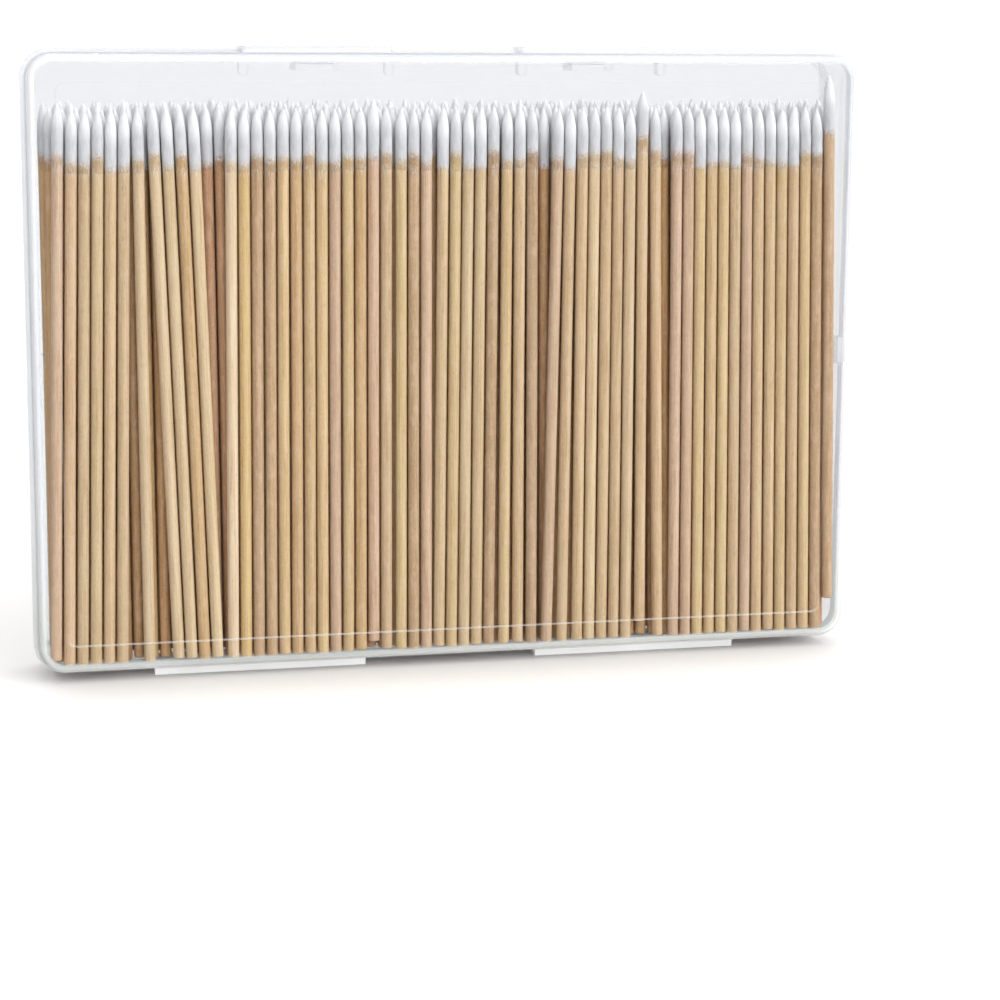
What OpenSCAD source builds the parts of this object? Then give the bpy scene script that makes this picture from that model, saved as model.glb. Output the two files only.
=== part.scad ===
// Hinged clear box for cotton swabs, standing on its hinge side with the latches on top.
// X runs along the width, Y from the lid (front) to the tray (back), Z is up.
// The origin is on the resting face, at the centre of the whole.

/* [Swabs] */
// Length of a swab from its cut end to its cotton point
swab_len = 99.8; // [70:0.1:130]
// Diameter of the wooden stick
stick_d = 2.1; // [1.8:0.05:2.6]
// Thickness of the cotton where it starts on the stick
cotton_hem = 0.05; // [0.04:0.01:0.08]
// Length of stick that the cotton covers, with its point
cotton_len = 11; // [8:0.1:16]
// Length over which the cotton narrows to its point
cotton_taper = 4.8; // [3:0.1:6]
// Diameter of the stick's pared end inside the cotton
pared_d = 1; // [0.6:0.1:1.4]
// Cotton beyond the pared end
cotton_cap = 1.5; // [1:0.1:2.8]
// Diameter of the blunt point
point_d = 0.3; // [0.2:0.05:0.6]
// Chamfer round the cut end of the stick
stick_chamfer = 0.12; // [0.05:0.01:0.3]
// Mean free space between neighbours in a row
stick_gap = 0.19; // [0.15:0.01:0.4]
// Free space between one row and the next
row_gap = 0.05; // [0.05:0.01:0.2]
// Most that a swab of the two front rows stands above the floor of the box
front_rise = 0.5; // [0:0.1:1.5]
// Most that a swab of the rows behind stands above the floor of the box
back_rise = 1.7; // [0:0.1:2.5]
// Sideways sway of the hidden rows, from foot to point
back_sway = 0.5; // [0:0.05:0.6]
// Lean to the left of the rows behind at their right-hand end, in degrees
back_lean = 1.3; // [0:0.1:1.5]
// Distance of the front row's first swab from the inside of the side wall
front_start = 2.1; // [1.4:0.1:4]
// Distance of the first swab of the rows behind from the inside of the side wall
back_start = 2.9; // [1.8:0.1:4]

/* [Case] */
// Width across the rim flanges
case_w = 155; // [130:1:200]
// Free height above the swabs inside the closed box
headspace = 9.1; // [8:0.1:14]
// Depth of the lid from the seam to its front face
lid_depth = 5.5; // [4.8:0.1:8]
// Wall thickness of both mouldings
wall = 1.1; // [0.9:0.05:1.4]
// Corner radius of the rim flange
corner_r = 5.5; // [4.5:0.1:9]
// Rounding along the front and back edges
edge_r = 1.6; // [1.3:0.1:2]
// Height of the rim flange above the walls
flange_proud = 0.6; // [0.4:0.05:1]
// Width of each rim flange, from the seam
flange_w = 1.2; // [1:0.1:2]
// Free space between the swabs and the big walls
face_clear = 0.1; // [0.05:0.01:0.3]
// Free space under the swabs
foot_clear = 0.06; // [0.03:0.01:0.2]

/* [Seam] */
// Thickness of the locating lip on the tray
lip_t = 0.6; // [0.4:0.05:0.7]
// Length of the locating lip past the seam
lip_len = 0.8; // [0.5:0.1:1.2]
// Clearance round the lip in the lid's rebate
lip_clear = 0.15; // [0.1:0.01:0.2]
// Width of the rim face that the label panel leaves at the sides and the hinge side
panel_side = 5.6; // [4.5:0.1:12]
// Width of the rim face above the label panel
panel_top = 6.2; // [4.5:0.1:14]
// Depth of the label panel in the front face
panel_depth = 0.25; // [0.1:0.05:0.4]
// Width of the slope round the label panel
panel_slope = 0.3; // [0.1:0.05:0.6]
// Corner radius of the label panel
panel_r = 2; // [1:0.1:4]

/* [Latches] */
// Distance of each latch from the middle of the box
latch_x = 25.4; // [18:0.1:34]
// Width of a thumb tab
tab_w = 28; // [20:0.5:32]
// Height of a thumb tab above the rim flange
tab_proud = 0.5; // [0.3:0.05:1]
// Corner radius of a thumb tab
tab_r = 1.5; // [0.8:0.1:1.8]
// Width of the latch tongue
tongue_w = 7.8; // [5:0.1:12]
// Thickness of the latch tongue
tongue_t = 1.1; // [0.8:0.1:1.4]
// Reach of the latch tongue past the seam
tongue_reach = 2.4; // [2:0.1:4]
// Drop of the tongue's top below the inside of the top wall
tongue_drop = 1; // [0.9:0.05:1.5]
// Height of the bead at the tongue's end
bead_h = 0.15; // [0.1:0.01:0.3]
// Thickness of the bead and of the tray's catch rib, front to back
bead_t = 0.8; // [0.5:0.05:1]
// Distance of the tray's catch rib behind the seam
catch_y = 0.4; // [0.3:0.05:0.6]
// Clearance between the bead and the catch rib
catch_clear = 0.1; // [0.08:0.01:0.2]
// Width of a stiffening rib under the end of a thumb tab
rib_w = 1.7; // [1:0.1:2.5]
// Height of a stiffening rib under the end of a thumb tab
rib_h = 3; // [2:0.1:4]
// Depth of a stiffening rib from the lid's front wall
rib_depth = 2.4; // [1.5:0.1:3]

/* [Side lugs] */
// Height of a side lug
lug_h = 5.1; // [3:0.1:10]
// How far a side lug stands in from the side wall
lug_in = 1.4; // [1:0.1:2.2]
// Gap between the seam and a side lug
lug_back = 1; // [0.5:0.1:2]

/* [Hinges] */
// Distance of each hinge from the middle of the box
hinge_x = 36; // [26:0.1:50]
// Width of a hinge
hinge_w = 39.3; // [20:0.1:42]
// Thickness of a hinge plate
hinge_t = 1.3; // [0.8:0.1:2]
// Depth of the tray's hinge plate behind the seam
hinge_plate = 8.5; // [7:0.1:11]
// Length of the thin web between the two hinge plates
web_len = 0.8; // [0.5:0.1:1.2]
// Thickness of the thin web
web_t = 0.35; // [0.25:0.05:0.5]

/* [Hidden] */
$fn = 40;

// Rows of swabs from the lid to the back of the tray
ROWS = 7;
// Small overlap that fuses two shapes of one piece
fuse = 0.05;

cotton_d = stick_d + 2 * cotton_hem;
row_pitch = cotton_d + row_gap;
stick_pitch = cotton_d + stick_gap;

// The swabs set the inside of the case
inner_depth = ROWS * row_pitch - row_gap + 2 * face_clear;
tray_depth = inner_depth + 2 * wall - lid_depth;
rim_t = wall + flange_proud;
inner_w = case_w - 2 * rim_t;
inner_h = foot_clear + swab_len + headspace;
case_h = inner_h + 2 * rim_t;
wall_w = case_w - 2 * flange_proud;
wall_h = case_h - 2 * flange_proud;
wall_r = corner_r - flange_proud;
inner_r = wall_r - wall;

// Places in the case's own frame: seam at y = 0, flange's lowest face at z = 0
floor_z = rim_t;
ceiling_z = case_h - rim_t;
front_in = -lid_depth + wall;
seam_y = (lid_depth - tray_depth) / 2;

// Stations along a tongue
tongue_top = ceiling_z - tongue_drop;
rebate_len = lip_len + lip_clear;
lug_bottom = case_h / 2 - lug_h / 2;
lug_depth = -front_in - lug_back;

function row_y(row) = front_in + face_clear + cotton_d / 2 + (row - 1) * row_pitch;

// Front row: extra room after the swab of that number, where the row has come apart,
// in thicknesses of the cotton
front_slack = [
    [5, 1.18], [6, 1.32], [10, 0.23], [23, 0.18], [31, 0.23], [32, 0.14], [33, 0.11],
    [34, 0.27], [35, 0.27], [36, 0.27], [41, 0.18], [42, 0.55], [43, 0.33]
];
// Front row: lean to the right at that swab in degrees, between these numbers evenly
front_lean = [
    [0, 1.42], [1, 1.42], [5, 1.2], [6, -0.34], [7, -1.88], [10, -1.88], [11, 0.34], [14, 0.23],
    [23, 0], [26, -0.11], [27, 0.34], [31, 0.23], [34, -0.34], [35, 0.8], [36, 0.4], [37, 0],
    [41, -0.28], [42, -0.57], [43, -1.25], [44, -0.6], [52, -1.15], [56, -1.4], [57, -1.46]
];
// Swabs of the front row that stand high, and by what share of their length
front_high = [[22, 0.02], [42, 0.033], [57, 0.062]];

function sum_slack(i, k = 0) =
    k >= len(front_slack) ? 0
    : (front_slack[k][0] < i ? front_slack[k][1] * cotton_d : 0) + sum_slack(i, k + 1);

function high_of(i) = max([for (h = front_high) h[0] == i ? h[1] * swab_len : 0]);

// Foot of a swab, before it is lifted over the rounded corner of the floor
function side_room(row) = row == 2 ? lug_in : 0;
function back_limit(row) =
    inner_w / 2 - cotton_d / 2 - face_clear - back_sway - side_room(row);
function row_start(row) =
    row == 1 ? front_start - inner_w / 2 : max(back_start - inner_w / 2, -back_limit(row));
function foot_x(row, i) =
    row_start(row) + i * stick_pitch + (row == 1 ? sum_slack(i) : 0);
function lean_of(row, i) =
    row == 1 ? swab_len * tan(lookup(i, front_lean))
    : back_sway * sin(i * 9 + row * 77) - swab_len * tan(back_lean * i / row_most);

// A row ends where the next swab would touch the side wall
function fits(row, i) =
    max(foot_x(row, i), foot_x(row, i) + lean_of(row, i)) + cotton_d / 2 + face_clear
    <= inner_w / 2 - side_room(row);
row_most = floor(inner_w / stick_pitch);
function row_swabs(row) = [for (i = [0 : row_most]) if (fits(row, i)) i];

// Rise of the rounded corner under the outer edge of a swab's foot
function corner_rise(x) =
    let (into = abs(x) + stick_d / 2 - (inner_w / 2 - inner_r))
    into > 0 ? inner_r - sqrt(inner_r * inner_r - into * into) : 0;
function random_rise(row, i) = rands(0, row <= 2 ? front_rise : back_rise, 1, row * 1000 + i)[0];
function lift_of(row, i) =
    max(random_rise(row, i), corner_rise(foot_x(row, i)), row == 1 ? high_of(i) : 0);

// Everything is drawn in the case's own frame and set down on its hinge plates here
module in_place() {
    translate([0, seam_y, hinge_t]) children();
}

module rounded_rect(w, h, r) {
    translate([-w / 2 + r, 0]) square([w - 2 * r, h]);
    translate([-w / 2, r]) square([w, h - 2 * r]);
    for (x = [-w / 2 + r, w / 2 - r], z = [r, h - r])
        translate([x, z]) circle(r);
}

// A plate in the XZ plane from y = 0 towards the front
module plate(depth) {
    rotate([90, 0, 0]) linear_extrude(depth) children();
}

// A plate-like block, its outline rounded by r and its front edges by e
module soft_block(w, h, depth, r, e) {
    plate(depth - e) rounded_rect(w, h, r);
    plate(depth) translate([0, e]) rounded_rect(w - 2 * e, h - 2 * e, r - e);
    for (z = [e, h - e])
        translate([-w / 2 + r, e - depth, z]) rotate([0, 90, 0]) cylinder(r = e, h = w - 2 * r);
    for (x = [-w / 2 + e, w / 2 - e])
        translate([x, e - depth, r]) cylinder(r = e, h = h - 2 * r);
    for (x = [-w / 2 + r, w / 2 - r], z = [r, h - r])
        translate([x, e - depth, z]) rotate([90, 0, 0])
            rotate_extrude() translate([r - e, 0]) circle(e);
}

// Outside of a moulding: rounded walls with a rim flange at the seam
module moulding_outside(depth) {
    translate([0, 0, flange_proud]) soft_block(wall_w, wall_h, depth, wall_r, edge_r);
    plate(flange_w) rounded_rect(case_w, case_h, corner_r);
}

module moulding_hollow(depth) {
    translate([0, fuse, rim_t]) plate(depth - wall + fuse) rounded_rect(inner_w, inner_h, inner_r);
}

// A shape outside the hollow by grow, as a plate
module around_hollow(depth, grow) {
    translate([0, 0, rim_t - grow]) plate(depth)
        rounded_rect(inner_w + 2 * grow, inner_h + 2 * grow, inner_r + grow);
}

// Shallow panel in the front face, with a slope all round
module label_panel() {
    w = case_w - 2 * panel_side;
    h = case_h - panel_side - panel_top;
    translate([0, -lid_depth, panel_side]) hull() {
        plate(fuse) rounded_rect(w, h, panel_r, $fn = 32);
        translate([0, panel_depth, panel_slope]) plate(fuse)
            rounded_rect(w - 2 * panel_slope, h - 2 * panel_slope, panel_r - panel_slope, $fn = 32);
    }
}

module thumb_tab() {
    depth = lid_depth - edge_r;
    translate([0, 0, case_h - flange_proud - fuse])
        linear_extrude(flange_proud + tab_proud + fuse) {
            translate([-tab_w / 2, -depth + tab_r]) square([tab_w, depth - tab_r]);
            translate([-tab_w / 2 + tab_r, -depth]) square([tab_w - 2 * tab_r, depth]);
            for (x = [-tab_w / 2 + tab_r, tab_w / 2 - tab_r])
                translate([x, -depth + tab_r]) circle(tab_r);
        }
}

// Tongue that reaches under the tray's top wall, on a root below the lid's top wall
module latch_tongue() {
    root_end = -rebate_len - lip_clear;
    translate([-tongue_w / 2, front_in - fuse, tongue_top - tongue_t])
        cube([tongue_w, tongue_reach - front_in + fuse, tongue_t]);
    translate([-tongue_w / 2, front_in - fuse, tongue_top - tongue_t])
        cube([tongue_w, root_end - front_in + fuse, ceiling_z - tongue_top + tongue_t + fuse]);
    translate([-tongue_w / 2, tongue_reach - bead_t, tongue_top - fuse])
        cube([tongue_w, bead_t, bead_h + fuse]);
}

// Rib on the tray's top wall, behind which the bead lies
module catch_rib() {
    low = tongue_top + bead_h + catch_clear;
    translate([-tongue_w / 2, catch_y, low])
        cube([tongue_w, bead_t, ceiling_z - low + fuse]);
}

module stiffening_rib() {
    translate([0, front_in + rib_depth, 0]) plate(rib_depth + fuse) {
        translate([-rib_w / 2, ceiling_z - rib_h + rib_w / 2])
            square([rib_w, rib_h - rib_w / 2 + fuse]);
        translate([0, ceiling_z - rib_h + rib_w / 2]) circle(rib_w / 2);
    }
}

module side_lugs() {
    for (side = [-1, 1])
        translate([side * (inner_w / 2 - lug_in / 2 + fuse / 2), front_in + lug_depth / 2 - fuse / 2,
                   lug_bottom + lug_h / 2])
            cube([lug_in + fuse, lug_depth + fuse, lug_h], center = true);
}

// A hinge plate from y = near to y = far under the flange
module hinge_plates(near, far) {
    for (side = [-1, 1])
        translate([side * hinge_x - hinge_w / 2, near, -hinge_t])
            cube([hinge_w, far - near, hinge_t + flange_proud + fuse]);
}

module tray_hinge_plates() {
    hinge_plates(web_len / 2, hinge_plate);
}

module case_tray() {
    color("aliceblue", 0.35) in_place() difference() {
        union() {
            mirror([0, 1, 0]) moulding_outside(tray_depth);
            around_hollow(lip_len, lip_t);
            tray_hinge_plates();
        }
        mirror([0, 1, 0]) moulding_hollow(tray_depth);
        translate([0, fuse, 0]) moulding_hollow(lip_len + wall + 2 * fuse);
    }
    color("aliceblue", 0.35) in_place()
        for (side = [-1, 1]) translate([side * latch_x, 0, 0]) catch_rib();
}

module case_lid() {
    color("aliceblue", 0.35) in_place() difference() {
        union() {
            moulding_outside(lid_depth);
            hinge_plates(-flange_w, -web_len / 2);
            for (side = [-1, 1]) translate([side * latch_x, 0, 0]) thumb_tab();
        }
        moulding_hollow(lid_depth);
        translate([0, fuse, 0]) around_hollow(rebate_len + fuse, lip_t + lip_clear);
        label_panel();
    }
    color("aliceblue", 0.35) in_place() {
        side_lugs();
        for (side = [-1, 1]) translate([side * latch_x, 0, 0]) {
            latch_tongue();
            for (end = [-1, 1]) translate([end * (tab_w - rib_w) / 2, 0, 0]) stiffening_rib();
        }
    }
}

module hinge_web(side) {
    color("azure", 0.6) in_place()
        translate([side * hinge_x - hinge_w / 2, -web_len / 2, -hinge_t])
            cube([hinge_w, web_len, web_t]);
}

// A swab's frame: foot at the origin, leaning to the right at its upper end
module at_swab(row, i) {
    x = foot_x(row, i);
    translate([x, row_y(row), floor_z + foot_clear + lift_of(row, i)])
        rotate([0, atan(lean_of(row, i) / swab_len), 0]) children();
}

module stick() {
    shoulder = swab_len - cotton_len;
    rotate_extrude($fn = 24) polygon([
        [0, 0],
        [stick_d / 2 - stick_chamfer, 0],
        [stick_d / 2, stick_chamfer],
        [stick_d / 2, shoulder],
        [pared_d / 2, swab_len - cotton_cap],
        [0, swab_len - cotton_cap]
    ]);
}

// Radius of the cotton at a share t of its narrowing end
function taper_r(t) = cotton_d / 2 * pow(1 - pow(t, 2), 0.75);

module cotton() {
    shoulder = swab_len - cotton_len;
    steps = 5;
    rotate_extrude($fn = 24) polygon(concat(
        [[stick_d / 2, shoulder], [cotton_d / 2, shoulder + cotton_hem]],
        [for (k = [0 : steps - 1])
            [taper_r(k / steps), swab_len - cotton_taper * (1 - k / steps)]],
        [[point_d / 2, swab_len], [0, swab_len]],
        [[0, swab_len - cotton_cap], [pared_d / 2, swab_len - cotton_cap]]
    ));
}

module sticks_row(row) {
    color("burlywood") in_place() for (i = row_swabs(row)) at_swab(row, i) stick();
}

module cotton_row(row) {
    color("white") in_place() for (i = row_swabs(row)) at_swab(row, i) cotton();
}

case_tray();
case_lid();
hinge_web(-1);  // hinge_web_left
hinge_web(1);  // hinge_web_right
sticks_row(1);  // sticks_row_1
sticks_row(2);  // sticks_row_2
sticks_row(3);  // sticks_row_3
sticks_row(4);  // sticks_row_4
sticks_row(5);  // sticks_row_5
sticks_row(6);  // sticks_row_6
sticks_row(7);  // sticks_row_7
cotton_row(1);  // cotton_row_1
cotton_row(2);  // cotton_row_2
cotton_row(3);  // cotton_row_3
cotton_row(4);  // cotton_row_4
cotton_row(5);  // cotton_row_5
cotton_row(6);  // cotton_row_6
cotton_row(7);  // cotton_row_7
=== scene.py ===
import math

import bpy
import numpy as np
from mathutils import Matrix, Vector, noise


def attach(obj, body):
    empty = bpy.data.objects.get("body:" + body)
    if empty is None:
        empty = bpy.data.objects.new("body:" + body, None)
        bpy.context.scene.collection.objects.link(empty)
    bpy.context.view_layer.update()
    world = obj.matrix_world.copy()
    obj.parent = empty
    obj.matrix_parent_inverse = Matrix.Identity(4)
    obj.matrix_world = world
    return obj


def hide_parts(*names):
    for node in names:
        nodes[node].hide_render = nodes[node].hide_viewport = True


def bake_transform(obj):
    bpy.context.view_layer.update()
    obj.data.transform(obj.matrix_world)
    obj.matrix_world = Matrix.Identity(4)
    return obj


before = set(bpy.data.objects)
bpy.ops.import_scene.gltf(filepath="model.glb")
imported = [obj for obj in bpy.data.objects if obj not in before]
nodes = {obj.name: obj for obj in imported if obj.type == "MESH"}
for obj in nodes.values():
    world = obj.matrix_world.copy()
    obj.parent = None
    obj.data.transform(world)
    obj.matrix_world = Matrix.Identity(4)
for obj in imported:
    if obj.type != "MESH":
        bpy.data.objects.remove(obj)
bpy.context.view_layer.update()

# Lengths in metres, as in the CAD model
MM = 0.001
ROWS = 7
STICK_R = 1.05 * MM
CHAMFER = 0.12 * MM
PARED_R = 0.5 * MM
PARED_END = 98.3 * MM
COTTON_R = 1.1 * MM
SHOULDER = 88.8 * MM
TAPER = 4.8 * MM
SWAB_LEN = 99.8 * MM
POINT_R = 0.15 * MM
COTTON_GROWS = 2.5 * MM
SEAM_Y = -3.55 * MM
HINGE_X = 36.0 * MM
HINGE_W = 39.3 * MM
WEB_HALF = 0.4 * MM
WEB_T = 0.35 * MM
HINGE_TOP = 1.3 * MM

# Case walls: the inner hollow's half width, floor, ceiling and corner, the outer depth, and the
# label panel's half width, bottom, top and corner
HOLLOW = (75.8 * MM, 3.0 * MM, 111.96 * MM, 3.8 * MM)
PANEL = (71.9 * MM, 6.9 * MM, 107.96 * MM, 2.0 * MM)
PANEL_SLOPE = 0.3 * MM
CASE_FRONT = -9.05 * MM
CASE_BACK = 9.05 * MM
WALL = 1.1 * MM

# The outermost rows get finer meshes than those between them
SHOWN_ROWS = (1, ROWS)
# Band at each end of a packed stick from which its axis is read
END_BAND = 0.5 * MM
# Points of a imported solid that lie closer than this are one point
WELD = 1e-7

# How far sticks bow and are out of round, and the height of the lumps in the cotton
BOW = 0.05 * MM
OVAL = 0.012
LUMP = 0.05 * MM
# Lumps for each radius round the cotton, and for each millimetre along it
LUMPS_ROUND = 1.6
LUMPS_ALONG = 0.55
# How far the cotton's edge strays from its mean, in millimetres down and up the stick
HEM_RANGE = (-1.6, 1.5)
# The cotton's first ring lies just inside the stick, and the next one this far above it
HEM_INSET = 0.01 * MM
HEM_STEP = 0.25 * MM

# Loose fibres of a swab: at the cotton's edge, on its body and at its point
FIBRES_SHOWN = (34, 84, 80)
FIBRES_HIDDEN = (0, 30, 80)
# Stations along a fibre, how far it lies off the cotton, and how much narrower its end is
FIBRE_STATIONS = 3
FIBRE_OFF = 0.012 * MM
FIBRE_TAPER = 0.7

# Divisions of a hinge strip across the seam and along it, and how much thinner its middle is
WEB_STEPS = (13, 25)
WEB_WAIST = 0.06 * MM

# Seeds of the random draws, to which the row's number is added
TONE_SEED, STICK_SEED, FIBRE_SEED, HEM_SEED = 40, 140, 240, 340
# Shift in the noise from one swab to the next
NOISE_SHIFT = (37.0, 53.0)

# Wood tones, linear RGB
TONES = {
    "t": (0.63, 0.47, 0.285),
    "l": (0.685, 0.535, 0.34),
    "g": (0.65, 0.49, 0.265),
    "y": (0.68, 0.50, 0.23),
    "o": (0.585, 0.40, 0.21),
    "p": (0.61, 0.44, 0.305),
    "b": (0.53, 0.37, 0.22),
    "w": (0.745, 0.60, 0.42),
}
# Tone of each swab in the front row, from the left, and the tones of the other rows
FRONT_TONES = "ptttttlllolwybbgoggpgoptgbptgltbgtbpttlttlttppgggtpttgtgbb"
MIXED_TONES = "ttttllggpbo"
# Tint of the rows between the outermost ones: painted shade, darker and browner, for the shade in
# the gaps between the sticks
INNER_ROWS_PAINTED_SHADE = (0.87, 0.72, 0.56)
# What the plastic does to light that doesn't go straight to the camera
INDIRECT_TINT = (0.89, 0.897, 0.905, 1.0)

# Camera fitted to the photograph: focal length in millimetres, place, and angles in degrees
CAMERA_LENS = 94.97
CAMERA_PLACE = (-0.10448, -0.47761, 0.12102)
CAMERA_YAW, CAMERA_PITCH, CAMERA_ROLL = 13.534, 10.559, 0.412

FLOOR_R = 6.0
FLOOR_SIDES = 96
FLOOR_DROP = 0.02 * MM

# Directions of the two lights, and strengths: of the room, the key, the top light, the white
# walls as glossy surfaces see them, and the background as the camera sees it
KEY = Vector((0.62, -0.68, 0.38)).normalized()
OVERHEAD = Vector((0.0, 0.10, 0.995)).normalized()
ROOM_LEVELS = (0.36, 1.42)
KEY_FOCUS, KEY_LEVEL = 5.0, 3.6
OVERHEAD_FOCUS, OVERHEAD_LEVEL = 150.0, 42.0
WALLS_LEVEL = 0.95
SEEN_LEVEL = 1.1


def material(name):
    """A new node material with its Principled shader, ready to be wired."""
    mat = bpy.data.materials.new(name)
    mat.use_nodes = True
    tree = mat.node_tree
    return mat, tree, tree.nodes["Principled BSDF"]


def node(tree, kind, **values):
    """A shader node with its settings or its inputs given by name."""
    made = tree.nodes.new(kind)
    for key, value in values.items():
        if key in made.inputs:
            made.inputs[key].default_value = value
        else:
            setattr(made, key, value)
    return made


def math_node(tree, operation, first, second=None):
    """The result of a sum; each value is a number or a socket."""
    made = tree.nodes.new("ShaderNodeMath")
    made.operation = operation
    for socket, value in zip(made.inputs, (first, second)):
        if isinstance(value, (int, float)):
            socket.default_value = value
        elif value is not None:
            tree.links.new(value, socket)
    return made.outputs[0]


def remap(tree, value, low, high, to_low=0.0, to_high=1.0, smooth=False):
    """Carries the range low to high over to another range, and stops at its ends."""
    made = tree.nodes.new("ShaderNodeMapRange")
    made.interpolation_type = "SMOOTHSTEP" if smooth else "LINEAR"
    tree.links.new(value, made.inputs["Value"])
    made.inputs["From Min"].default_value = low
    made.inputs["From Max"].default_value = high
    made.inputs["To Min"].default_value = to_low
    made.inputs["To Max"].default_value = to_high
    return made.outputs["Result"]


def mixed(tree, kind, factor, first, second):
    """Mixes two colours; each is a colour or a socket."""
    made = tree.nodes.new("ShaderNodeMix")
    made.data_type = "RGBA"
    made.blend_type = kind
    pairs = ((made.inputs["Factor"], factor), (made.inputs[6], first), (made.inputs[7], second))
    for socket, value in pairs:
        if isinstance(value, (int, float, tuple)):
            socket.default_value = value
        else:
            tree.links.new(value, socket)
    return made.outputs[2]


def stretched_noise(tree, source, stretch, scale, detail=3.0, rough=0.55, distortion=0.0):
    """Noise of a stretched copy of the coordinates."""
    mapping = node(tree, "ShaderNodeMapping", Scale=stretch)
    tree.links.new(source, mapping.inputs["Vector"])
    made = node(tree, "ShaderNodeTexNoise", Scale=scale, Detail=detail, Roughness=rough,
                Distortion=distortion)
    tree.links.new(mapping.outputs["Vector"], made.inputs["Vector"])
    return made.outputs["Fac"]


def axes_of(tree, vector):
    """The three parts of a vector."""
    made = node(tree, "ShaderNodeSeparateXYZ")
    tree.links.new(vector, made.inputs[0])
    return made.outputs[0], made.outputs[1], made.outputs[2]


def dot_product(tree, direction, axis):
    """How far a direction agrees with a fixed axis."""
    made = tree.nodes.new("ShaderNodeVectorMath")
    made.operation = "DOT_PRODUCT"
    made.inputs[1].default_value = axis
    tree.links.new(direction, made.inputs[0])
    return made.outputs["Value"]


def lobe(tree, agreement, focus, level):
    """Light that falls off round an axis."""
    near = math_node(tree, "POWER", math_node(tree, "MAXIMUM", agreement, 0.0), focus)
    return math_node(tree, "MULTIPLY", near, level)


def mix_shaders(tree, factor, first, second):
    made = tree.nodes.new("ShaderNodeMixShader")
    for socket, value in zip(made.inputs, (factor, first, second)):
        tree.links.new(value, socket)
    return made.outputs[0]


def bump(tree, height, strength, distance):
    made = node(tree, "ShaderNodeBump", Strength=strength, Distance=distance)
    tree.links.new(height, made.inputs["Height"])
    return made.outputs["Normal"]


def wood_colour(tree, local, tone):
    """Colour of the wood, with its grain and pores. Returns the fine grain and the pores too."""
    broad = stretched_noise(tree, local, (0.9, 0.9, 0.035), 1.0, 2.0)
    fine = stretched_noise(tree, local, (5.5, 5.5, 0.09), 1.0, 4.0, 0.6)
    pores = stretched_noise(tree, local, (9.0, 9.0, 0.6), 1.0, 2.0, 0.5)
    rings = stretched_noise(tree, local, (1.6, 1.6, 0.05), 1.0, 2.0, 0.5, 0.6)
    flecks = stretched_noise(tree, local, (8.0, 8.0, 3.2), 1.0, 3.0, 0.65)
    blotches = stretched_noise(tree, local, (0.9, 0.9, 0.33), 1.0, 3.0, 0.6)
    colour = mixed(tree, "MULTIPLY", remap(tree, broad, 0.35, 0.7), tone, (0.88, 0.83, 0.77, 1.0))
    colour = mixed(tree, "MULTIPLY", remap(tree, fine, 0.42, 0.72, 0.0, 0.7), colour,
                   (0.76, 0.66, 0.55, 1.0))
    colour = mixed(tree, "MULTIPLY", remap(tree, rings, 0.56, 0.66, 0.0, 0.4, True), colour,
                   (0.74, 0.62, 0.50, 1.0))
    colour = mixed(tree, "MULTIPLY", remap(tree, pores, 0.64, 0.74, 0.0, 0.6, True), colour,
                   (0.52, 0.40, 0.30, 1.0))
    colour = mixed(tree, "MIX", remap(tree, flecks, 0.52, 0.75, 0.0, 0.34), colour,
                   (0.79, 0.69, 0.545, 1.0))
    colour = mixed(tree, "MULTIPLY", remap(tree, flecks, 0.50, 0.28, 0.0, 0.45), colour,
                   (0.72, 0.60, 0.48, 1.0))
    colour = mixed(tree, "MIX", remap(tree, blotches, 0.48, 0.68, 0.0, 0.38, True), colour,
                   (0.68, 0.465, 0.325, 1.0))
    return colour, fine, pores


def wood_material():
    mat, tree, shader = material("stick_wood")
    local = node(tree, "ShaderNodeAttribute", attribute_name="local").outputs["Vector"]
    tone = node(tree, "ShaderNodeAttribute", attribute_name="tone").outputs["Color"]
    along = node(tree, "ShaderNodeAttribute", attribute_name="along").outputs["Fac"]
    colour, fine, pores = wood_colour(tree, local, tone)
    end = math_node(tree, "LESS_THAN", along, 0.06)
    colour = mixed(tree, "MULTIPLY", math_node(tree, "MULTIPLY", end, 0.7), colour,
                   (0.72, 0.60, 0.48, 1.0))
    tree.links.new(colour, shader.inputs["Base Color"])
    tree.links.new(remap(tree, fine, 0.3, 0.7, 0.5, 0.72), shader.inputs["Roughness"])
    height = math_node(tree, "SUBTRACT", fine, math_node(tree, "MULTIPLY", pores, 0.6))
    tree.links.new(bump(tree, height, 0.35, 0.12 * MM), shader.inputs["Normal"])
    shader.inputs["Specular IOR Level"].default_value = 0.35
    return mat


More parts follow.
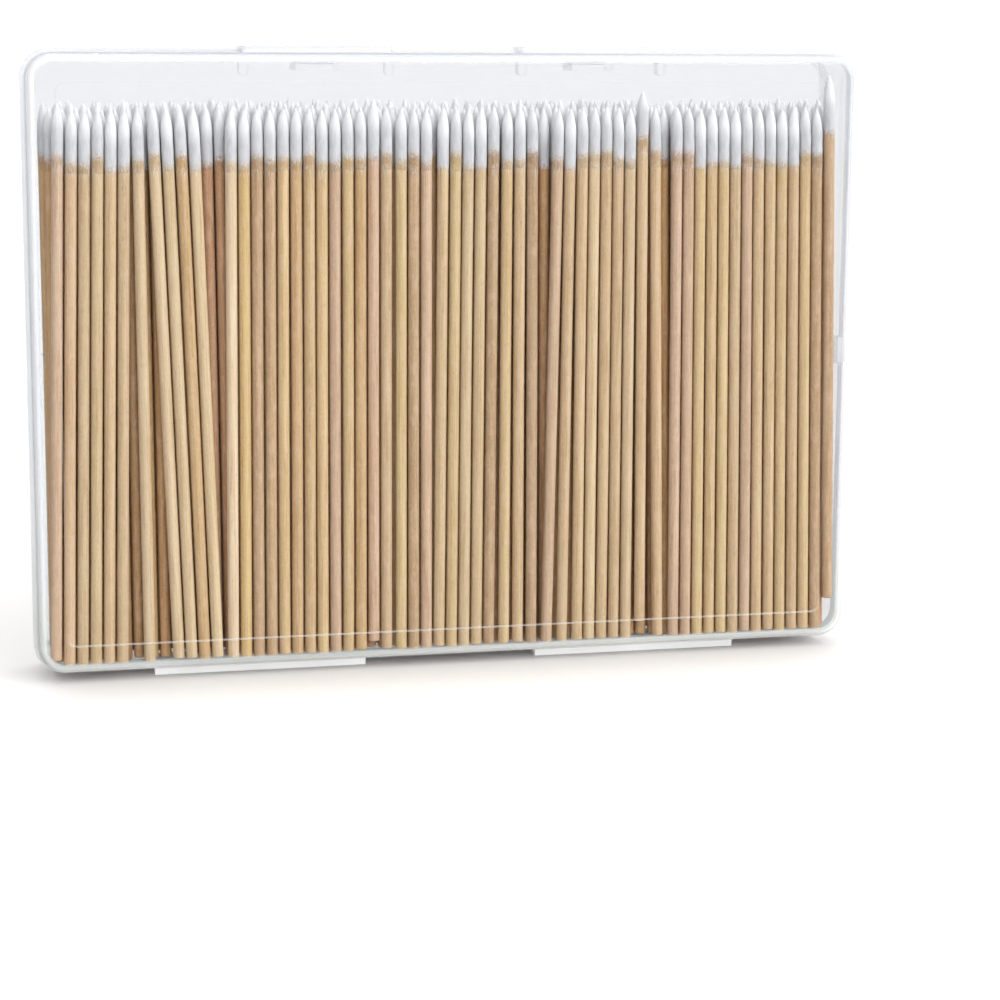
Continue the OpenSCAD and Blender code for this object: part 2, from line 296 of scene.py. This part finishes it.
def cotton_material():
    mat, tree, shader = material("cotton_wound")
    local = node(tree, "ShaderNodeAttribute", attribute_name="local").outputs["Vector"]
    tone = node(tree, "ShaderNodeAttribute", attribute_name="tone").outputs["Color"]
    along = node(tree, "ShaderNodeAttribute", attribute_name="along").outputs["Fac"]
    strands = stretched_noise(tree, local, (7.0, 7.0, 1.1), 1.0, 4.0, 0.6, 0.5)
    clumps = stretched_noise(tree, local, (1.4, 1.4, 0.45), 1.0, 3.0, 0.55)
    edge = stretched_noise(tree, local, (4.5, 4.5, 2.6), 1.0, 4.0, 0.7)
    soft = mixed(tree, "MIX", remap(tree, clumps, 0.35, 0.7), (0.665, 0.655, 0.66, 1.0),
                 (0.565, 0.555, 0.563, 1.0))
    soft = mixed(tree, "MULTIPLY", remap(tree, strands, 0.5, 0.75, 0.0, 0.4), soft,
                 (0.84, 0.84, 0.85, 1.0))
    # Painted light and shade: the cotton goes from a greyer colour low down to white towards its
    # point, where more light falls
    painted_tip_light = mixed(tree, "MIX", remap(tree, along, 5.0, 9.5, 0.0, 1.0, True), soft,
                  (0.86, 0.857, 0.86, 1.0))
    wood, _, _ = wood_colour(tree, local, tone)
    thin = mixed(tree, "MULTIPLY", remap(tree, edge, 0.35, 0.65), wood, (0.74, 0.72, 0.70, 1.0))
    cover = math_node(tree, "ADD", along, math_node(tree, "MULTIPLY", edge, 7.0))
    under = mixed(tree, "MIX", remap(tree, cover, 2.8, 3.9, 0.0, 1.0, True), wood, thin)
    colour = mixed(tree, "MIX", remap(tree, cover, 4.5, 5.9, 0.0, 1.0, True), under, painted_tip_light)
    tree.links.new(colour, shader.inputs["Base Color"])
    tree.links.new(remap(tree, strands, 0.3, 0.7, 0.8, 0.95), shader.inputs["Roughness"])
    tree.links.new(bump(tree, strands, 0.8, 0.2 * MM), shader.inputs["Normal"])
    shader.inputs["Specular IOR Level"].default_value = 0.15
    shader.inputs["Sheen Weight"].default_value = 0.15
    shader.inputs["Sheen Roughness"].default_value = 0.5
    return mat


def fibre_material():
    mat, tree, shader = material("cotton_fibre")
    local = node(tree, "ShaderNodeAttribute", attribute_name="local").outputs["Vector"]
    patches = stretched_noise(tree, local, (2.0, 2.0, 0.8), 1.0, 2.0)
    colour = mixed(tree, "MIX", remap(tree, patches, 0.35, 0.7), (0.88, 0.88, 0.885, 1.0),
                   (0.78, 0.782, 0.79, 1.0))
    tree.links.new(colour, shader.inputs["Base Color"])
    tree.links.new(remap(tree, patches, 0.3, 0.7, 0.7, 0.9), shader.inputs["Roughness"])
    shader.inputs["Specular IOR Level"].default_value = 0.2
    return mat


def outline_distance(tree, x, z, outline):
    """Distance outside a rounded rectangle in the XZ plane, negative inside it."""
    half, low, high, corner = outline
    over = [math_node(tree, "SUBTRACT", math_node(tree, "ABSOLUTE", x), half - corner)]
    middle = math_node(tree, "SUBTRACT", z, (low + high) / 2)
    over.append(math_node(tree, "SUBTRACT", math_node(tree, "ABSOLUTE", middle),
                          (high - low) / 2 - corner))
    squares = [math_node(tree, "POWER", math_node(tree, "MAXIMUM", o, 0.0), 2.0) for o in over]
    outside = math_node(tree, "SQRT", math_node(tree, "ADD", *squares))
    inside = math_node(tree, "MINIMUM", math_node(tree, "MAXIMUM", *over), 0.0)
    return math_node(tree, "SUBTRACT", math_node(tree, "ADD", outside, inside), corner)


def plastic_material(name, cloud, haze_face, haze_edge):
    """Clear moulded plastic: a milky body that thickens towards its edges, under a gloss, with
    painted shade lines at its rims and creases and a painted highlight round the label panel.
    """
    mat, tree, body = material(name)
    coordinate = node(tree, "ShaderNodeTexCoord")
    place = coordinate.outputs["Object"]
    x, y, z = axes_of(tree, place)
    turned_x, turned_y, turned_z = [math_node(tree, "ABSOLUTE", a)
                                    for a in axes_of(tree, coordinate.outputs["Normal"])]
    outside = outline_distance(tree, x, z, HOLLOW)
    along_rim = node(tree, "ShaderNodeCombineXYZ")
    for socket, value in zip(along_rim.inputs, (outside, y, math_node(tree, "ADD", x, z))):
        tree.links.new(value, socket)
    streaks = stretched_noise(tree, along_rim.outputs[0], (900.0, 700.0, 8.0), 1.0, 2.0, 0.5)
    streaks = remap(tree, streaks, 0.42, 0.66, 0.0, 1.0, True)
    patches = stretched_noise(tree, place, (1.0, 1.0, 1.0), 55.0, 3.0)
    scuffs = stretched_noise(tree, place, (260.0, 260.0, 24.0), 1.0, 4.0, 0.65, 0.4)
    flow = stretched_noise(tree, place, (28.0, 28.0, 14.0), 1.0, 2.0)
    facing = node(tree, "ShaderNodeLayerWeight", Blend=0.5).outputs["Facing"]
    edge = math_node(tree, "POWER", remap(tree, facing, 0.06, 1.0), 1.5)
    widest = math_node(tree, "MAXIMUM", turned_x, math_node(tree, "MAXIMUM", turned_y, turned_z))
    rounded = remap(tree, widest, 0.95, 0.995, 1.0, 0.0, True)
    outline = math_node(tree, "MULTIPLY", remap(tree, facing, 0.90, 0.99, 0.0, 1.0, True), rounded)
    crease = math_node(tree, "MULTIPLY", remap(tree, turned_y, 0.36, 0.50, 0.0, 1.0, True),
                       remap(tree, turned_y, 0.56, 0.70, 1.0, 0.0, True))

    gloss = node(tree, "ShaderNodeBsdfGlossy", Color=(1.0, 1.0, 1.0, 1.0))
    rough = math_node(tree, "ADD", remap(tree, patches, 0.35, 0.7, cloud * 0.7, cloud * 1.2),
                      remap(tree, scuffs, 0.66, 0.78, 0.0, 0.06, True))
    tree.links.new(rough, gloss.inputs["Roughness"])
    tree.links.new(bump(tree, flow, 0.04, 0.4 * MM), gloss.inputs["Normal"])
    passed = node(tree, "ShaderNodeBsdfTransparent")
    side = remap(tree, math_node(tree, "MAXIMUM", turned_x, turned_z), 0.9, 1.0, 0.0, 1.0, True)
    tint = mixed(tree, "MIX", edge, (0.914, 0.920, 0.928, 1.0), (0.95, 0.953, 0.96, 1.0))
    tint = mixed(tree, "MULTIPLY", math_node(tree, "MULTIPLY", streaks, side), tint,
                 (0.955, 0.96, 0.965, 1.0))
    tree.links.new(tint, passed.inputs["Color"])

    # A face is milky where a wall stands edge-on behind it
    rim = remap(tree, outside, -0.9 * MM, 0.1 * MM, 0.0, 1.0, True)
    rim = math_node(tree, "MULTIPLY", rim, math_node(tree, "POWER", turned_y, 2.0))
    at_front = remap(tree, y, CASE_FRONT + WALL, CASE_FRONT + 0.5 * WALL, 0.0, 1.0, True)
    at_back = remap(tree, y, CASE_BACK - WALL, CASE_BACK - 0.5 * WALL, 0.0, 1.0, True)
    near_face = math_node(tree, "ADD", at_front, at_back)
    across = math_node(tree, "MULTIPLY", math_node(tree, "ADD", turned_x, turned_z),
                       remap(tree, outside, 0.6 * MM, 1.2 * MM))
    thick = math_node(tree, "MAXIMUM", rim, math_node(tree, "MULTIPLY", near_face, across))
    thick = math_node(tree, "MULTIPLY", math_node(tree, "MINIMUM", thick, 1.0), 0.72)

    # Milky colour: greenish at the foot and bluish above, paler on the side walls, and streaked
    body.inputs["Roughness"].default_value = 0.6
    body.inputs["Specular IOR Level"].default_value = 0.0
    milky = mixed(tree, "MIX", remap(tree, z, 4.0 * MM, 30.0 * MM), (0.60, 0.61, 0.585, 1.0),
                  (0.66, 0.663, 0.673, 1.0))
    milky = mixed(tree, "MIX", side, milky, (0.71, 0.715, 0.72, 1.0))
    milky = mixed(tree, "MULTIPLY", streaks, milky, (0.80, 0.815, 0.84, 1.0))

    # Painted shade: darker lines along the rim, in the creases and at the outline, for the shade
    # and refraction lines that clear plastic shows there
    lines = math_node(tree, "ABSOLUTE", math_node(tree, "SUBTRACT", outside, 0.75 * MM))
    lines = remap(tree, lines, 0.08 * MM, 0.2 * MM, 0.22, 0.0, True)
    creases = math_node(tree, "MULTIPLY", crease, remap(tree, turned_x, 0.2, 0.7, 0.08, 0.32))
    painted_shade_lines = math_node(tree, "MAXIMUM", math_node(tree, "MULTIPLY", outline, 0.38),
                     math_node(tree, "MAXIMUM", creases, lines))
    milky = mixed(tree, "MIX", painted_shade_lines, milky, (0.28, 0.28, 0.29, 1.0))

    # Plastic that flexes turns white: the hinge plates, below the walls
    flexed = remap(tree, z, HINGE_TOP, HINGE_TOP + 0.2 * MM, 0.75, 0.0)
    milky = mixed(tree, "MIX", flexed, milky, (0.80, 0.80, 0.80, 1.0))
    tree.links.new(milky, body.inputs["Base Color"])

    # Painted highlight: the slope round the label panel is made milkier, most along its foot, for
    # the light it catches
    painted_panel_highlight = math_node(tree, "ABSOLUTE", math_node(
        tree, "ADD", outline_distance(tree, x, z, PANEL), PANEL_SLOPE / 2))
    painted_panel_highlight = remap(tree, painted_panel_highlight, 0.12 * MM, 0.17 * MM, 1.0, 0.0, True)
    painted_panel_highlight = math_node(tree, "MULTIPLY", painted_panel_highlight,
                      remap(tree, z, PANEL[1], PANEL[1] + PANEL[3], 0.35, 0.07))
    on_front = remap(tree, y, CASE_FRONT + 0.4 * MM, CASE_FRONT + 0.6 * MM, 1.0, 0.0)
    painted_panel_highlight = math_node(tree, "MULTIPLY", painted_panel_highlight, on_front)
    thick = math_node(tree, "ADD", thick, painted_panel_highlight)
    haze = math_node(tree, "ADD", remap(tree, edge, 0.0, 1.0, haze_face, haze_edge),
                     remap(tree, scuffs, 0.66, 0.8, 0.0, 0.008, True))
    haze = math_node(tree, "ADD", math_node(tree, "ADD", haze, flexed), thick)
    # Painted shade: the outline is made milkier too, so its darkened milky colour shows as a grey
    # line
    haze = math_node(tree, "ADD", haze, math_node(tree, "MULTIPLY", outline, 0.3))
    haze = math_node(tree, "MINIMUM", haze, 1.0)
    clouded = mix_shaders(tree, haze, passed.outputs[0], body.outputs[0])

    # The gloss is on the outer side of each surface only
    back = node(tree, "ShaderNodeNewGeometry").outputs["Backfacing"]
    fresnel = node(tree, "ShaderNodeFresnel", IOR=1.10).outputs[0]
    mirror = math_node(tree, "MULTIPLY", fresnel, math_node(tree, "SUBTRACT", 1.0, back))
    mirror = math_node(tree, "MULTIPLY", mirror, remap(tree, outline, 0.0, 1.0, 1.0, 0.3))
    whole = mix_shaders(tree, mirror, clouded, gloss.outputs[0])

    # Light that comes in from elsewhere needs no more than the plain tint
    path = node(tree, "ShaderNodeLightPath")
    indirect = math_node(tree, "MAXIMUM", path.outputs["Is Shadow Ray"],
                         path.outputs["Is Diffuse Ray"])
    plain = node(tree, "ShaderNodeBsdfTransparent", Color=INDIRECT_TINT)
    final = mix_shaders(tree, indirect, whole, plain.outputs[0])
    tree.links.new(final, tree.nodes["Material Output"].inputs["Surface"])
    return mat


def coordinates(mesh):
    """The vertices' places, as rows of an array."""
    flat = np.empty(len(mesh.vertices) * 3, np.float32)
    mesh.vertices.foreach_get("co", flat)
    return flat.reshape(-1, 3).astype(float)


def island_labels(mesh):
    """Number of the loose part that each vertex belongs to, and the vertices' places."""
    places = coordinates(mesh)
    _, same = np.unique(np.round(places / WELD).astype(np.int64), axis=0, return_inverse=True)
    same = same.reshape(-1)
    ends = np.empty(len(mesh.edges) * 2, np.int32)
    mesh.edges.foreach_get("vertices", ends)
    first, second = same[ends.reshape(-1, 2)].T
    label = np.arange(same.max() + 1)
    while True:
        low = np.minimum(label[first], label[second])
        new = label.copy()
        np.minimum.at(new, first, low)
        np.minimum.at(new, second, low)
        new = new[new][new]
        if (new == label).all():
            return label[same], places
        label = new


def swab_axes(row):
    """Foot and direction of each stick in a row, from left to right."""
    label, places = island_labels(nodes[f"sticks_row_{row}"].data)
    found = []
    for name in np.unique(label):
        part = places[label == name]
        low = part[part[:, 2] < part[:, 2].min() + END_BAND]
        high = part[part[:, 2] > part[:, 2].max() - END_BAND]
        y = (part[:, 1].min() + part[:, 1].max()) / 2
        foot, top = [np.array(((end[:, 0].min() + end[:, 0].max()) / 2, y,
                               (end[:, 2].min() + end[:, 2].max()) / 2)) for end in (low, high)]
        direction = (top - foot) / np.linalg.norm(top - foot)
        top[2] = part[:, 2].max()
        found.append((top - direction * PARED_END, direction))
    found.sort(key=lambda swab: swab[0][0])
    return found


def turned_forms(swabs, stations, sides, radius_at, drift_at=None):
    """Closed turned forms, one on each swab's axis. Returns vertices, faces and local places."""
    angles = np.arange(sides) * (2 * math.pi / sides)
    ring = np.stack((np.cos(angles), np.sin(angles)), 1)
    vertices, faces, local = [], [], []
    count = len(stations)
    for number, (foot, direction) in enumerate(swabs):
        across = np.array((direction[2], 0.0, -direction[0]))
        behind = np.array((0.0, 1.0, 0.0))
        base = number * (count * sides + 2)
        for k, z in enumerate(stations):
            radius = radius_at(number, k, z, angles)
            drift = drift_at(number, z) if drift_at else (0.0, 0.0)
            flat = ring * radius[:, None] + np.array(drift)
            local.append(np.column_stack((flat, np.full(sides, z))))
            vertices.append(foot + np.outer(flat[:, 0], across) + np.outer(flat[:, 1], behind)
                            + direction * z)
        for z in (stations[0], stations[-1]):
            drift = drift_at(number, z) if drift_at else (0.0, 0.0)
            local.append(np.array([(*drift, z)]))
            vertices.append((foot + across * drift[0] + behind * drift[1] + direction * z)[None])
        for k in range(count - 1):
            for s in range(sides):
                a, b = base + k * sides + s, base + k * sides + (s + 1) % sides
                faces.append((a, b, b + sides, a + sides))
        low, high = base + count * sides, base + count * sides + 1
        last = base + (count - 1) * sides
        for s in range(sides):
            after = (s + 1) % sides
            faces.append((low, base + after, base + s))
            faces.append((high, last + s, last + after))
    return np.concatenate(vertices), faces, np.concatenate(local)


def piece(name, vertices, faces, mat, local=None, tones=None, seeds=None, smooth=True):
    """A mesh object with its material and the attributes that the material reads."""
    mesh = bpy.data.meshes.new(name)
    mesh.from_pydata([tuple(v) for v in vertices], [], faces)
    if smooth:
        mesh.shade_smooth()
    if local is not None:
        place = local / MM
        place[:, :2] += seeds[:, None] * NOISE_SHIFT
        mesh.attributes.new("local", "FLOAT_VECTOR", "POINT").data.foreach_set(
            "vector", place.astype(np.float32).ravel())
        mesh.attributes.new("along", "FLOAT", "POINT").data.foreach_set(
            "value", (local[:, 2] / MM).astype(np.float32))
        four = np.column_stack((tones, np.ones(len(tones))))
        mesh.attributes.new("tone", "FLOAT_COLOR", "POINT").data.foreach_set(
            "color", four.astype(np.float32).ravel())
    mesh.materials.append(mat)
    mesh.update()
    made = bpy.data.objects.new(name, mesh)
    bpy.context.scene.collection.objects.link(made)
    return made


def row_tones(row, count):
    """A tone and a seed number for each swab of a row."""
    rng = np.random.default_rng(TONE_SEED + row)
    letters = FRONT_TONES if row == 1 else rng.choice(list(MIXED_TONES), count)
    tones = np.array([TONES[letters[i % len(letters)]] for i in range(count)])
    tones = tones * rng.uniform(0.95, 1.05, (count, 1)) * rng.uniform(0.98, 1.02, (count, 3))
    # Painted shade: the rows between the outermost ones are darkened and made browner
    if row not in SHOWN_ROWS:
        tones = tones * INNER_ROWS_PAINTED_SHADE
    return tones, rng.uniform(1.0, 9.0, count)


def make_sticks(row, swabs, tones, seeds, mat):
    """The wooden sticks of a row, each slightly bowed and out of round."""
    fine = row in SHOWN_ROWS
    sides = 20 if fine else 12
    middle = np.linspace(CHAMFER, SHOULDER, 9 if fine else 4)
    stations = [0.0, *middle, PARED_END]
    rng = np.random.default_rng(STICK_SEED + row)
    bow = rng.uniform(-BOW, BOW, (len(swabs), 2))
    oval = rng.uniform(0.0, OVAL, len(swabs))
    turn = rng.uniform(0.0, math.pi, len(swabs))

    def radius_at(number, k, z, angles):
        if k == 0:
            mean = STICK_R - CHAMFER
        elif z >= PARED_END:
            mean = PARED_R
        else:
            mean = STICK_R
        return mean * (1 - oval[number] * (1 + np.cos(2 * (angles - turn[number]))))

    def drift_at(number, z):
        arch = math.sin(math.pi * min(z / SHOULDER, 1.0))
        return bow[number, 0] * arch, bow[number, 1] * arch

    vertices, faces, local = turned_forms(swabs, stations, sides, radius_at, drift_at)
    each = len(vertices) // len(swabs)
    made = piece(f"swab_sticks_{row}", vertices, faces, mat, local, np.repeat(tones, each, 0),
                 np.repeat(seeds, each))
    made.data.set_sharp_from_angle(angle=math.radians(35))
    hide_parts(f"sticks_row_{row}")
    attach(made, "tray")


def cotton_radius(z):
    """Radius of the wound cotton at a height on the swab."""
    start = SWAB_LEN - TAPER
    if z <= start:
        return COTTON_R
    share = (z - start) / TAPER
    return max(COTTON_R * (1 - share * share) ** 0.75, POINT_R)


def make_cotton(row, swabs, tones, seeds, mat):
    """The wound cotton of a row, lumpy, with its edge at a different height on each stick."""
    fine = row in SHOWN_ROWS
    hem = np.random.default_rng(HEM_SEED + row).uniform(*HEM_RANGE, len(swabs)) * MM
    sides = 20 if fine else 12
    body = list(np.linspace(SHOULDER + HEM_STEP, SWAB_LEN - TAPER, 9 if fine else 4))
    taper = list(SWAB_LEN - TAPER * (1 - np.linspace(0, 1, 13 if fine else 7)[1:]))
    stations = [SHOULDER, *body, *taper]

    def radius_at(number, k, z, angles):
        if k == 0:
            return np.full(sides, STICK_R - HEM_INSET)
        grown = min((z - SHOULDER) / COTTON_GROWS, 1.0)
        mean = STICK_R + (cotton_radius(z) - STICK_R) * grown if grown < 1 else cotton_radius(z)
        keep = min(grown, (SWAB_LEN - z) / (2 * MM), 1.0)
        values = []
        for s in range(sides):
            spot = Vector((math.cos(angles[s]) * LUMPS_ROUND, math.sin(angles[s]) * LUMPS_ROUND,
                           z / MM * LUMPS_ALONG))
            values.append(noise.noise(spot + Vector((0, 0, seeds[number] * 31.0))))
        return mean + LUMP * keep * (np.array(values) - 0.35)

    vertices, faces, local = turned_forms(swabs, stations, sides, radius_at)
    each = len(vertices) // len(swabs)
    local[:, 2] -= SHOULDER + np.repeat(hem, each)
    made = piece(f"swab_cotton_{row}", vertices, faces, mat, local, np.repeat(tones, each, 0),
                 np.repeat(seeds, each))
    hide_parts(f"cotton_row_{row}")
    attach(made, "tray")


def make_fibres(row, swabs, tones, seeds, mat):
    """Loose fibres on the cotton: down the stick at its edge, and elsewhere towards the point."""
    rng = np.random.default_rng(FIBRE_SEED + row)
    per_edge, per_body, per_point = FIBRES_SHOWN if row in SHOWN_ROWS else FIBRES_HIDDEN
    vertices, faces, local, owner = [], [], [], []
    for number, (foot, direction) in enumerate(swabs):
        across = np.array((direction[2], 0.0, -direction[0]))
        behind = np.array((0.0, 1.0, 0.0))
        for which in range(per_edge + per_body + per_point):
            angle = rng.uniform(0, 2 * math.pi)
            if which >= per_edge + per_body:
                z, length = SWAB_LEN - rng.uniform(0.2, 3.8) * MM, rng.uniform(0.5, 2.0) * MM
                lift, width = rng.uniform(0.1, 0.65) * MM, 0.034 * MM
            elif which < per_edge:
                z, length = SHOULDER + rng.uniform(0.1, 1.2) * MM, -rng.uniform(0.5, 2.2) * MM
                lift, width = rng.uniform(0.0, 0.05) * MM, 0.030 * MM
            else:
                z = SHOULDER + (rng.uniform(0, 1) ** 0.8) * (SWAB_LEN - SHOULDER - 0.9 * MM)
                length = rng.uniform(0.4, 1.3) * MM
                lift, width = rng.uniform(0.02, 0.16) * MM, 0.022 * MM
            swirl = rng.uniform(-0.5, 0.5)
            start = len(vertices)
            for k in range(FIBRE_STATIONS):
                share = k / (FIBRE_STATIONS - 1)
                height = z + length * share
                if height > SWAB_LEN:
                    height = SWAB_LEN + (height - SWAB_LEN) * 0.2
                radius = cotton_radius(min(height, SWAB_LEN)) if height > SHOULDER else STICK_R
                radius += FIBRE_OFF + lift * share * share
                turn = angle + swirl * share
                half = width / 2 * (1 - FIBRE_TAPER * share) / radius
                for side in (-half, half):
                    flat = (radius * math.cos(turn + side), radius * math.sin(turn + side))
                    vertices.append(foot + across * flat[0] + behind * flat[1]
                                    + direction * height)
                    local.append((*flat, height))
                    owner.append(number)
            for a in range(start, start + 2 * (FIBRE_STATIONS - 1), 2):
                faces.append((a, a + 1, a + 3, a + 2))
    owner = np.array(owner)
    made = piece(f"cotton_fibres_{row}", vertices, faces, mat, np.array(local), tones[owner],
                 seeds[owner])
    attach(made, "tray")


def make_web(side, word, mat):
    """The thin flexible strip of a hinge, finely divided."""
    across, along = WEB_STEPS
    xs = side * HINGE_X + np.linspace(-HINGE_W / 2, HINGE_W / 2, along)
    ys = SEAM_Y + np.linspace(WEB_HALF, -WEB_HALF, across)
    vertices = []
    for level in (0, 1):
        for y in ys:
            waist = WEB_WAIST * math.cos((y - SEAM_Y) / WEB_HALF * math.pi / 2)
            vertices += [(x, y, (WEB_T - waist) if level else waist * 0.5) for x in xs]
    faces = []
    top = across * along
    for j in range(across - 1):
        for i in range(along - 1):
            a = j * along + i
            faces.append((a, a + 1, a + along + 1, a + along))
            faces.append((top + a + along, top + a + along + 1, top + a + 1, top + a))
    for j in range(across - 1):
        for a in (j * along, j * along + along - 1):
            quad = (a, a + along, top + a + along, top + a)
            faces.append(quad if a == j * along else quad[::-1])
    for i in range(along - 1):
        for a in (i, (across - 1) * along + i):
            quad = (a + 1, a, top + a, top + a + 1)
            faces.append(quad if a == i else quad[::-1])
    made = piece(f"hinge_strip_{word}", vertices, faces, mat)
    made.data.set_sharp_from_angle(angle=math.radians(40))
    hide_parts(f"hinge_web_{word}")
    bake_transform(made)


def make_camera():
    """Camera at the photograph's viewing angle."""
    data = bpy.data.cameras.new("camera")
    data.sensor_width = 36.0
    data.lens = CAMERA_LENS
    data.clip_start = 0.01
    data.clip_end = 50.0
    camera = bpy.data.objects.new("camera", data)
    bpy.context.scene.collection.objects.link(camera)
    yaw, pitch, roll = [math.radians(a) for a in (CAMERA_YAW, CAMERA_PITCH, CAMERA_ROLL)]
    level = math.cos(pitch)
    ahead = Vector((math.sin(yaw) * level, math.cos(yaw) * level, -math.sin(pitch)))
    level_right = Vector((math.cos(yaw), -math.sin(yaw), 0.0))
    level_up = level_right.cross(ahead)
    right = level_right * math.cos(roll) + level_up * math.sin(roll)
    up = level_up * math.cos(roll) - level_right * math.sin(roll)
    turned = Matrix((right, up, -ahead)).transposed().to_4x4()
    camera.matrix_world = Matrix.Translation(CAMERA_PLACE) @ turned
    bpy.context.scene.camera = camera


def make_floor():
    """Plain pale floor, just under the box."""
    mesh = bpy.data.meshes.new("floor")
    angles = [2 * math.pi * k / FLOOR_SIDES for k in range(FLOOR_SIDES)]
    ring = [(FLOOR_R * math.cos(a), FLOOR_R * math.sin(a), -FLOOR_DROP) for a in angles]
    mesh.from_pydata(ring, [], [tuple(range(FLOOR_SIDES))])
    floor = bpy.data.objects.new("floor", mesh)
    bpy.context.scene.collection.objects.link(floor)
    mat, _, shader = material("floor")
    shader.inputs["Base Color"].default_value = (0.62, 0.616, 0.61, 1.0)
    shader.inputs["Roughness"].default_value = 0.7
    mesh.materials.append(mat)


def make_light():
    """Soft studio light: a pale room, brighter at the front right, with a light above."""
    world = bpy.data.worlds.new("studio")
    bpy.context.scene.world = world
    world.use_nodes = True
    tree = world.node_tree
    background = tree.nodes["Background"]
    direction = node(tree, "ShaderNodeTexCoord").outputs["Generated"]
    key = dot_product(tree, direction, KEY)
    level = remap(tree, key, -1.0, 1.0, *ROOM_LEVELS)
    level = math_node(tree, "ADD", level, lobe(tree, key, KEY_FOCUS, KEY_LEVEL))
    overhead = dot_product(tree, direction, OVERHEAD)
    level = math_node(tree, "ADD", level, lobe(tree, overhead, OVERHEAD_FOCUS, OVERHEAD_LEVEL))
    ray = node(tree, "ShaderNodeLightPath")
    walls = math_node(tree, "MULTIPLY", ray.outputs["Is Glossy Ray"], WALLS_LEVEL)
    level = math_node(tree, "MAXIMUM", level, walls)
    shown = tree.nodes.new("ShaderNodeMix")
    shown.data_type = "FLOAT"
    tree.links.new(ray.outputs["Is Camera Ray"], shown.inputs["Factor"])
    tree.links.new(level, shown.inputs[2])
    shown.inputs[3].default_value = SEEN_LEVEL
    tree.links.new(shown.outputs[0], background.inputs["Strength"])
    background.inputs["Color"].default_value = (1.0, 1.0, 1.0, 1.0)


make_camera()

# Swabs
wood = wood_material()
cotton = cotton_material()
fibre = fibre_material()
for row in range(1, ROWS + 1):
    swabs = swab_axes(row)
    tones, seeds = row_tones(row, len(swabs))
    make_sticks(row, swabs, tones, seeds, wood)
    make_cotton(row, swabs, tones, seeds, cotton)
    make_fibres(row, swabs, tones, seeds, fibre)

# Case
clear = plastic_material("clear_case", cloud=0.05, haze_face=0.001, haze_edge=0.12)
film = plastic_material("hinge_film", cloud=0.15, haze_face=0.25, haze_edge=0.8)
for name in ("case_tray", "case_lid"):
    nodes[name].data.materials.clear()
    nodes[name].data.materials.append(clear)
for side, word in ((-1, "left"), (1, "right")):
    make_web(side, word, film)

make_floor()
make_light()

# Enough bounces for the layers of clear plastic
cycles = bpy.context.scene.cycles
cycles.transparent_max_bounces = 32
cycles.max_bounces = 8
cycles.diffuse_bounces = 3
cycles.glossy_bounces = 2
bpy.context.scene.view_settings.view_transform = "Standard"
